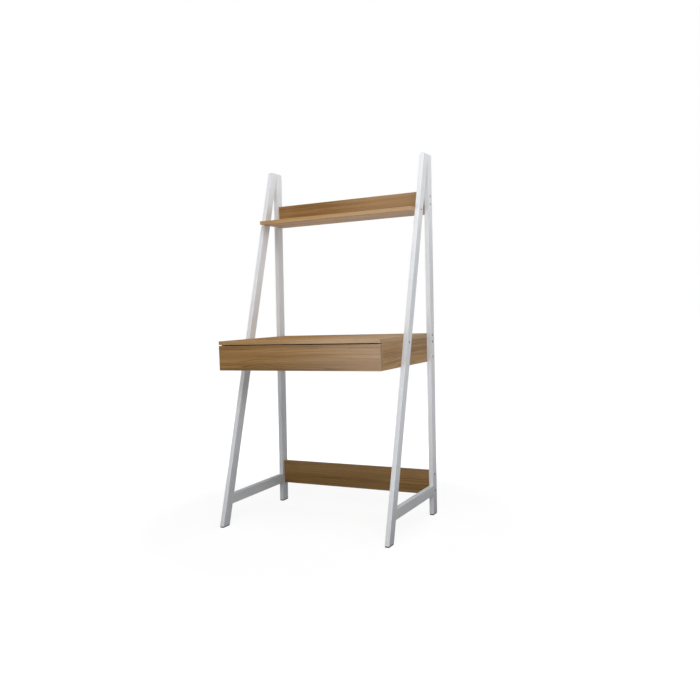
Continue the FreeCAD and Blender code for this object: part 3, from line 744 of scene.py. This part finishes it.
@dataclass
class SubAssembly:
    """Pieces that are built and dressed together.

    Attributes:
        body: The body of the frame that they move with.
    """

    body: str = "frame"

    def dress(self, material: Material, *nodes: str) -> None:
        """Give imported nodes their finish.

        Args:
            material: The finish.
            nodes: The nodes' names.
        """
        for name in nodes:
            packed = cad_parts[name]
            if not packed.material_slots:
                packed.data.materials.append(material)
            for slot in packed.material_slots:
                slot.material = material
            LOG.info("dressed %s with %s", name, material.name)


@dataclass
class SideFrames(SubAssembly):
    """The two white A-frames.

    Attributes:
        front_lean: The lean of the front legs, in radians.
        rear_lean: The lean of the rear legs, in radians.
    """

    front_lean: float = math.atan(0.3158)
    rear_lean: float = math.atan(0.0344)

    def build(self) -> None:
        """Dress the legs, rails and pads."""
        front = WhitePaint("white_paint_front_legs", self.front_lean).make()
        rear = WhitePaint("white_paint_rear_legs", self.rear_lean).make()
        rail = WhitePaint("white_paint_rails", grain=Axis.Y).make()
        felt = FootFelt("foot_felt").make()
        for hand in ("left", "right"):
            self.dress(front, f"{hand}_front_leg")
            self.dress(rear, f"{hand}_rear_leg")
            self.dress(rail, f"{hand}_side_rail")
            self.dress(felt, f"{hand}_front_foot_pad", f"{hand}_rear_foot_pad")


@dataclass
class Boards(SubAssembly):
    """The oak-effect boards.

    Attributes:
        foils: The finish of each board, by its node.
    """

    foils: dict[str, OakFoil] = field(default_factory=dict)

    def build(self) -> None:
        """Dress each board with its own cut of the oak pattern."""
        for node, foil in self.foils.items():
            self.dress(foil.make(*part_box(node)), node)


@dataclass(frozen=True)
class Lamp:
    """A soft square lamp.

    Attributes:
        name: The lamp's name.
        at: Its place, in metres.
        width: The length of its side, in metres.
        power: Its power, in watts.
        aim: The point that it shines at.
    """

    name: str
    at: Triple
    width: float
    power: float
    aim: Triple = (0.0, 0.0, 0.8)

    def hang(self) -> None:
        """Hang the lamp where it is out of the camera's sight."""
        light = bpy.data.lights.new(self.name, "AREA")
        light.shape = "SQUARE"
        light.size = self.width
        light.energy = self.power
        hung = bpy.data.objects.new(self.name, light)
        hung.location = self.at
        hung.visible_camera = False
        hung.rotation_euler = (Vector(self.aim) - Vector(self.at)).to_track_quat("-Z", "Y").to_euler()
        bpy.context.scene.collection.objects.link(hung)


@dataclass
class Studio:
    """Floor, light and camera.

    Attributes:
        eye: The camera's place, in metres.
        yaw: The camera's turn to the left of straight ahead, in radians.
        pitch: The camera's dip below level, in radians.
        roll: The camera's roll, in radians.
        reach: The lens's reach, in widths of the picture.
        sensor: The width of the camera's sensor, in millimetres.
        floor_radius: The floor's radius, in metres.
        floor_fade: How far from the middle the painted shade on the ground under the desk begins and ends to turn pale,
            in metres.
        floor_shade_greys: The two greys of the painted shade on the ground under the desk.
        floor_pale: The grey of the pale ground.
        floor_glow: How strongly the pale ground lights the desk.
        floor_shown: How strongly the floor glows for the camera.
        sky: The colour of the light from all round.
        sky_fade: Where that light fades out, from left to right.
        sky_light: Its strength on the left and elsewhere.
        lamps: The lamps.
    """

    eye: Triple = (1.49274, -2.73546, 0.86769)
    yaw: float = 0.46922
    pitch: float = 0.05125
    roll: float = 0.03477
    reach: float = 748.94 / 700
    sensor: float = 36.0
    floor_radius: float = 40.0
    floor_fade: Range = (0.7, 1.5)
    floor_shade_greys: Range = (0.15, 0.17)
    floor_pale: float = 0.85
    floor_glow: float = 0.27
    floor_shown: float = 0.88
    sky: Colour = (0.97, 0.985, 1.0)
    sky_fade: Range = (-0.58, -0.42)
    sky_light: Range = (0.04, 0.22)
    lamps: tuple[Lamp, ...] = (
        Lamp("key_light", (1.5, -2.25, 2.6), 1.9, 37.5, (0.0, 0.0, 0.7)),
        Lamp("front_light", (-0.5, -2.9, 0.6), 0.95, 18.0, (0.1, 0.0, 0.8)),
        Lamp("right_light", (2.6, 0.2, 2.3), 1.5, 10.5, (0.2, 0.0, 1.1)),
        Lamp("left_light", (-2.8, -0.2, 2.1), 1.8, 8.0),
        Lamp("rear_light", (0.6, 3.0, 2.4), 1.8, 24.0),
        Lamp("top_light", (0.3, -0.6, 2.9), 1.2, 12.0, (0.0, 0.0, 0.7)),
    )

    def build(self) -> None:
        """Make the floor, the light and the camera."""
        self._floor()
        self._world()
        for lamp in self.lamps:
            lamp.hang()
        self._camera()

    def _floor(self) -> None:
        """Lay a pale floor that shows a soft shadow, is painted darker as shade on the ground under the desk, and
        throws little light back.
        """
        shape = bmesh.new()
        bmesh.ops.create_circle(shape, cap_ends=True, segments=96, radius=self.floor_radius)
        mesh = bpy.data.meshes.new("studio_floor")
        shape.to_mesh(mesh)
        shape.free()
        mesh.materials.append(self._floor_finish())
        floor = bpy.data.objects.new("studio_floor", mesh)
        bpy.context.scene.collection.objects.link(floor)

    def _floor_finish(self) -> Material:
        """Build the floor's finish, which glows for the camera so that no edge shows.

        Returns:
            The material.
        """
        g = Graph("pale_floor")
        x, y, _ = g.parts(g.place)
        far = g.spread(g.math("SQRT", g.squares(x, y)), *self.floor_fade)
        shown = g.tree.nodes.new("ShaderNodeLightPath").outputs["Is Camera Ray"]
        glow = g.choose(shown, g.math("MULTIPLY", far, self.floor_glow), self.floor_shown)
        g.feed(g.surface.inputs["Emission Color"], rgba(WHITE))
        g.feed(g.surface.inputs["Emission Strength"], glow)
        # Painted shade: the ground under the desk is dark grey and fades to pale further out, which also throws less
        # light onto the desk.
        painted_shade = g.mix(g.noise(g.place, 3.0), *(shade(WHITE, grey) for grey in self.floor_shade_greys))
        return g.done(g.mix(far, painted_shade, shade(WHITE, self.floor_pale)), 0.9, gloss=0.0)

    def _world(self) -> None:
        """Light the studio from all round, little from the left, before a white ground."""
        world = bpy.data.worlds.new("studio")
        bpy.context.scene.world = world
        world.use_nodes = True
        tree = world.node_tree
        tree.nodes.clear()
        output = tree.nodes.new("ShaderNodeOutputWorld")
        seen = tree.nodes.new("ShaderNodeBackground")
        seen.inputs["Color"].default_value = rgba(WHITE)
        light = tree.nodes.new("ShaderNodeBackground")
        light.inputs["Color"].default_value = rgba(self.sky)
        way = tree.nodes.new("ShaderNodeSeparateXYZ")
        tree.links.new(tree.nodes.new("ShaderNodeTexCoord").outputs["Generated"], way.inputs[0])
        rise = tree.nodes.new("ShaderNodeMapRange")
        rise.interpolation_type = "SMOOTHSTEP"
        for name, value in zip(("From Min", "From Max", "To Min", "To Max"), self.sky_fade + self.sky_light):
            rise.inputs[name].default_value = value
        tree.links.new(way.outputs[0], rise.inputs["Value"])
        tree.links.new(rise.outputs["Result"], light.inputs["Strength"])
        path = tree.nodes.new("ShaderNodeLightPath")
        pick = tree.nodes.new("ShaderNodeMixShader")
        tree.links.new(path.outputs["Is Camera Ray"], pick.inputs[0])
        tree.links.new(light.outputs[0], pick.inputs[1])
        tree.links.new(seen.outputs[0], pick.inputs[2])
        tree.links.new(pick.outputs[0], output.inputs["Surface"])
        bpy.context.scene.view_settings.view_transform = "Standard"

    def _camera(self) -> None:
        """Set the camera at the photograph's angle."""
        level = math.cos(self.pitch)
        ahead = Vector((-math.sin(self.yaw) * level, math.cos(self.yaw) * level, -math.sin(self.pitch)))
        right = Vector((math.cos(self.yaw), math.sin(self.yaw), 0.0))
        down = ahead.cross(right)
        side = math.cos(self.roll) * right + math.sin(self.roll) * down
        up = math.sin(self.roll) * right - math.cos(self.roll) * down
        lens = bpy.data.cameras.new("photo_camera")
        lens.sensor_fit = "HORIZONTAL"
        lens.sensor_width = self.sensor
        lens.lens = self.sensor * self.reach
        camera = bpy.data.objects.new("photo_camera", lens)
        turned = Matrix((side, up, -ahead)).transposed().to_4x4()
        camera.matrix_world = Matrix.Translation(self.eye) @ turned
        bpy.context.scene.collection.objects.link(camera)
        bpy.context.scene.camera = camera


@dataclass(frozen=True)
class Turned:
    """A turned fastener: its head's face lies at height 0 and its shank grows upwards.

    Attributes:
        head: The head's radius.
        crown: The head's height.
        steps: The radius and height of each further step of the shank, up to its tip.
        rim: How far the head's edge is rounded.
        recess: The opening in the head.
        size: The opening's size.
        depth: The opening's depth.
        flutes: How far every second edge of the outline is drawn in.
        segments: The number of sides.
    """

    head: float
    crown: float
    steps: tuple[tuple[float, float], ...] = ()
    rim: float = 0.6 * MM
    recess: Recess = Recess.NONE
    size: float = 4.0 * MM
    depth: float = 2.0 * MM
    flutes: float = 0.0
    segments: int = 32

    def make(self) -> bpy.types.Mesh:
        """Build the fastener upright at the origin.

        Returns:
            Its mesh.
        """
        shape = bmesh.new()
        bmesh.ops.create_cone(
            shape, cap_ends=True, segments=self.segments, radius1=self.head, radius2=self.head, depth=self.crown
        )
        bmesh.ops.translate(shape, verts=shape.verts[:], vec=(0.0, 0.0, self.crown / 2))
        tip = max(shape.faces, key=lambda face: face.normal.z)
        for radius, height in self.steps:
            tip = self._grown(shape, tip, radius, height)
        face = min(shape.faces, key=lambda face: face.normal.z)
        worn = list(face.edges) + ([] if self.steps else list(tip.edges))
        bmesh.ops.bevel(shape, geom=worn, offset=self.rim, segments=3, profile=0.5, affect="EDGES", material=-1)
        if self.recess is not Recess.NONE:
            face = min(shape.faces, key=lambda face: (round(face.calc_center_median().z, 7), face.normal.z))
            for share, part in OPENING_STEPS:
                face = self._opened(shape, face, share, part * self.depth)
        if self.flutes:
            self._flute(shape)
        bmesh.ops.recalc_face_normals(shape, faces=shape.faces[:])
        mesh = bpy.data.meshes.new("turned_fastener")
        shape.to_mesh(mesh)
        shape.free()
        return mesh

    def _grown(self, shape: Shape, tip: Face, radius: float, height: float) -> Face:
        """Extrude the tip to a further step of the shank.

        Args:
            shape: The fastener.
            tip: The face at its end.
            radius: The step's radius.
            height: The step's height.

        Returns:
            The new face at the end.
        """
        tip = bmesh.ops.extrude_discrete_faces(shape, faces=[tip])["faces"][0]
        for vert in tip.verts:
            vert.co = vert.co.xy.normalized().to_3d() * radius + Vector((0.0, 0.0, height))
        return tip

    def _opened(self, shape: Shape, face: Face, share: float, height: float) -> Face:
        """Sink the face of the head to a further step of its opening.

        Args:
            shape: The fastener.
            face: The face that is sunk.
            share: The step's part of the opening's size.
            height: The step's depth.

        Returns:
            The new face.
        """
        face = bmesh.ops.extrude_discrete_faces(shape, faces=[face])["faces"][0]
        for vert in face.verts:
            angle = math.atan2(vert.co.y, vert.co.x)
            out = self.recess.reach(angle, self.size * share)
            vert.co = (out * math.cos(angle), out * math.sin(angle), height)
        return face

    def _flute(self, shape: Shape) -> None:
        """Draw every second edge of the outline in, along the whole shank.

        Args:
            shape: The fastener.
        """
        for vert in shape.verts:
            side = round(math.atan2(vert.co.y, vert.co.x) / (2 * math.pi) * self.segments)
            if side % 2:
                vert.co.xy *= 1.0 - self.flutes


@dataclass
class Fasteners(SubAssembly):
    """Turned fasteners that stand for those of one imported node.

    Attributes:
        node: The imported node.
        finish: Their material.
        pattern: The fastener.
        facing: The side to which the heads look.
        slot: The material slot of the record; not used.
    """

    node: str = ""
    finish: Union[Material, None] = None
    pattern: Union[Turned, None] = None
    facing: Facing = Facing.OUTWARD
    slot: str = "zinc_steel"

    def build(self) -> None:
        """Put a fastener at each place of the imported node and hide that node."""
        shape = bmesh.new()
        boxes = islands(self.node)
        for low, high in boxes:
            size = high - low
            middle = (low + high) / 2
            ahead = self._ahead(size, middle)
            length = abs(size.dot(ahead))
            mesh = self._cut(length).make()
            known = len(shape.verts)
            shape.from_mesh(mesh)
            bpy.data.meshes.remove(mesh)
            shape.verts.ensure_lookup_table()
            turn = ahead.to_track_quat("Z", "Y").to_matrix().to_4x4()
            set_in = Matrix.Translation(middle - ahead * length / 2) @ turn
            bmesh.ops.transform(shape, matrix=set_in, verts=shape.verts[known:])
        piece = finished(f"{self.node}_turned", shape, self.finish)
        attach(piece, self.body)
        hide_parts(self.node)
        LOG.info("built %s: %d fasteners", piece.name, len(boxes))

    def _cut(self, length: float) -> Turned:
        """Bring the pattern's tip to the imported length.

        Args:
            length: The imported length.

        Returns:
            The new pattern.
        """
        if not self.pattern.steps:
            return replace(self.pattern, crown=length)
        whole = self.pattern.steps[-1][1]
        moved = tuple(
            (radius, height + length - whole if height > whole / 2 else height) for radius, height in self.pattern.steps
        )
        return replace(self.pattern, steps=moved)

    def _ahead(self, size: Vector, middle: Vector) -> Vector:
        """Return the way from a fastener's head to its tip.

        Args:
            size: The size of its box.
            middle: The middle of its box.

        Returns:
            A vector of length 1.
        """
        axis = max(range(3), key=lambda way: size[way])
        ahead = Vector((0.0, 0.0, 0.0))
        ahead[axis] = 1.0
        if self.facing is Facing.OUTWARD and middle[axis] > 0.0:
            return -ahead
        if self.facing is Facing.INWARD and middle[axis] < 0.0:
            return -ahead
        return ahead


@dataclass
class Hardware:
    """Bolts, screws, dowels and cam fittings, built finer where they are turned pieces.

    Attributes:
        bolt: The leg bolts.
        sunk: The screws whose heads are sunk.
        raised: The screws whose heads stand up.
        dowel: The fluted dowels of the frame and desktop.
        thin_dowel: Those of the drawer front.
    """

    bolt: Turned = Turned(
        5.5 * MM,
        3.0 * MM,
        ((3.0 * MM, 3.0 * MM), (3.0 * MM, 8.0 * MM), (2.6 * MM, 57.0 * MM), (2.1 * MM, 58.5 * MM)),
        0.9 * MM,
        Recess.HEX,
    )
    sunk: Turned = Turned(
        3.5 * MM,
        0.4 * MM,
        ((1.75 * MM, 2.0 * MM), (1.75 * MM, 36.0 * MM), (0.5 * MM, 42.0 * MM)),
        0.15 * MM,
        Recess.CROSS,
        4.2 * MM,
        1.2 * MM,
    )
    raised: Turned = Turned(
        3.5 * MM,
        2.0 * MM,
        ((1.75 * MM, 2.0 * MM), (1.75 * MM, 8.0 * MM), (0.5 * MM, 11.0 * MM)),
        0.7 * MM,
        Recess.CROSS,
        4.0 * MM,
        1.2 * MM,
    )
    dowel: Turned = Turned(4.0 * MM, 34.0 * MM, rim=1.0 * MM, flutes=0.07, segments=36)
    thin_dowel: Turned = Turned(3.0 * MM, 29.0 * MM, rim=1.0 * MM, flutes=0.08, segments=30)

    def build(self) -> None:
        """Build the turned fasteners and dress the others."""
        dark = PlatedSteel("dark_bolt_plating", (0.31, 0.31, 0.32), 0.42, Axis.X, 0.75).make()
        zinc = PlatedSteel("zinc_plating").make()
        bright = PlatedSteel("polished_balls", (0.72, 0.73, 0.74), 0.1, Axis.X).make()
        beech = Beech("beech_of_the_dowels").make()
        for node in ("desk_bolts", "shelf_bolts", "low_panel_bolts"):
            Fasteners("frame", node, dark, self.bolt, Facing.OUTWARD, "dark_bolt").build()
        Fasteners("frame", "shelf_screws", zinc, self.sunk, Facing.DOWN).build()
        Fasteners("frame", "runner_case_screws", zinc, self.sunk, Facing.INWARD).build()
        Fasteners("drawer", "runner_drawer_screws", zinc, self.raised, Facing.OUTWARD).build()
        Fasteners("drawer", "drawer_back_screws", zinc, self.sunk, Facing.OUTWARD).build()
        for node in ("rail_dowels", "apex_dowels", "desktop_dowels"):
            Fasteners("frame", node, beech, self.dowel, Facing.DOWN, "beech_dowel").build()
        Fasteners("drawer", "drawer_front_dowels", beech, self.thin_dowel, Facing.DOWN, "beech_dowel").build()
        kept = ("_nuts", "_outer", "_inner", "_cage", "_discs", "_pins")
        SubAssembly().dress(zinc, *[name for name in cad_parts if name.endswith(kept)])
        SubAssembly().dress(bright, "left_runner_balls", "right_runner_balls")


def islands(node: str) -> list[tuple[Vector, Vector]]:
    """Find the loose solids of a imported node.

    Args:
        node: The node's name.

    Returns:
        The lowest and highest corner of each solid, in order.
    """
    shape = bmesh.new()
    shape.from_mesh(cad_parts[node].data)
    bmesh.ops.remove_doubles(shape, verts=shape.verts[:], dist=1e-6)
    boxes = []
    seen: set[int] = set()
    shape.verts.index_update()
    for first in shape.verts:
        if first.index in seen:
            continue
        seen.add(first.index)
        group = [first]
        for vert in group:
            for other in (edge.other_vert(vert) for edge in vert.link_edges):
                if other.index not in seen:
                    seen.add(other.index)
                    group.append(other)
        places = [vert.co.copy() for vert in group]
        low = Vector(min(place[axis] for place in places) for axis in range(3))
        high = Vector(max(place[axis] for place in places) for axis in range(3))
        boxes.append((low, high))
    shape.free()
    return sorted(boxes, key=lambda box: tuple(round(value, 5) for value in box[0]))


def finished(name: str, shape: Shape, material: Material, crease: float = 0.6) -> bpy.types.Object:
    """Turn a shape into a shaded object.

    Args:
        name: The object's name.
        shape: The shape, which is freed.
        material: Its finish.
        crease: The angle above which an edge stays sharp, in radians.

    Returns:
        The object, at the origin.
    """
    for face in shape.faces:
        face.smooth = True
    for edge in shape.edges:
        edge.smooth = len(edge.link_faces) == 2 and edge.calc_face_angle() < crease
    mesh = bpy.data.meshes.new(name)
    shape.to_mesh(mesh)
    shape.free()
    mesh.materials.append(material)
    piece = bpy.data.objects.new(name, mesh)
    bpy.context.scene.collection.objects.link(piece)
    return piece


# The desktop and shelf have higher tones as painted light: the shelf for light thrown up onto its underside, the
# desktop for light reflected off its top.
FRAME_FOILS: dict[str, OakFoil] = {
    "desktop": OakFoil(
        "oak_desktop", tone_and_painted_light=1.7, seed=1.3, plank=0.12, knot=(0.16, -0.1), painted_sheen=0.62, edge=0.66, gloss=0.18, rough=0.56
    ),
    "desk_left_panel": OakFoil("oak_left_panel", tone_and_painted_light=1.35, seed=2.1, knot=(0.1, 0.02)),
    "desk_right_panel": OakFoil("oak_right_panel", tone_and_painted_light=1.44, seed=3.7, knot=(-0.08, 0.0), soft=0.07),
    "desk_back_panel": OakFoil("oak_back_panel", tone_and_painted_light=1.2, seed=4.9, knot=(0.2, 0.01)),
    "shelf_board": OakFoil("oak_shelf", tone_and_painted_light=1.85, seed=6.2, knot=(-0.05, 0.03), painted_sheen=0.32, edge=1.26, gloss=0.22),
    "shelf_upright": OakFoil("oak_upright", tone_and_painted_light=1.24, seed=7.4, knot=(0.04, -0.02), painted_sheen=0.3),
    "low_back_panel": OakFoil("oak_low_panel", tone_and_painted_light=1.02, seed=8.8, knot=(-0.1, 0.02), gloss=0.25, rough=0.42),
}
DRAWER_FOILS: dict[str, OakFoil] = {
    "drawer_front": OakFoil(
        "oak_drawer_front",
        tone_and_painted_light=0.95,
        seed=10.1,
        heart=(0.1, 0.01),
        knot=(-0.16, -0.055),
        bulge=(0.036, 0.075, 0.046),
        ring=13.0 * MM,
        painted_sheen=0.16,
        lines=1.0,
        soft=0.06,
        gloss=0.3,
        rough=0.25,
    ),
}


def main() -> None:
    """Build the dressed desk, piece by piece."""
    logging.basicConfig(level=logging.INFO, format="%(name)s: %(message)s")
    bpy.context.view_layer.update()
    SideFrames().build()
    Boards("frame", FRAME_FOILS).build()
    Boards("drawer", DRAWER_FOILS).build()
    pale = PaleFoil("pale_drawer_foil").make()
    SubAssembly("drawer").dress(pale, "drawer_left_side", "drawer_right_side", "drawer_back", "drawer_bottom")
    Hardware().build()
    Studio().build()


if __name__ == "__main__":
    main()
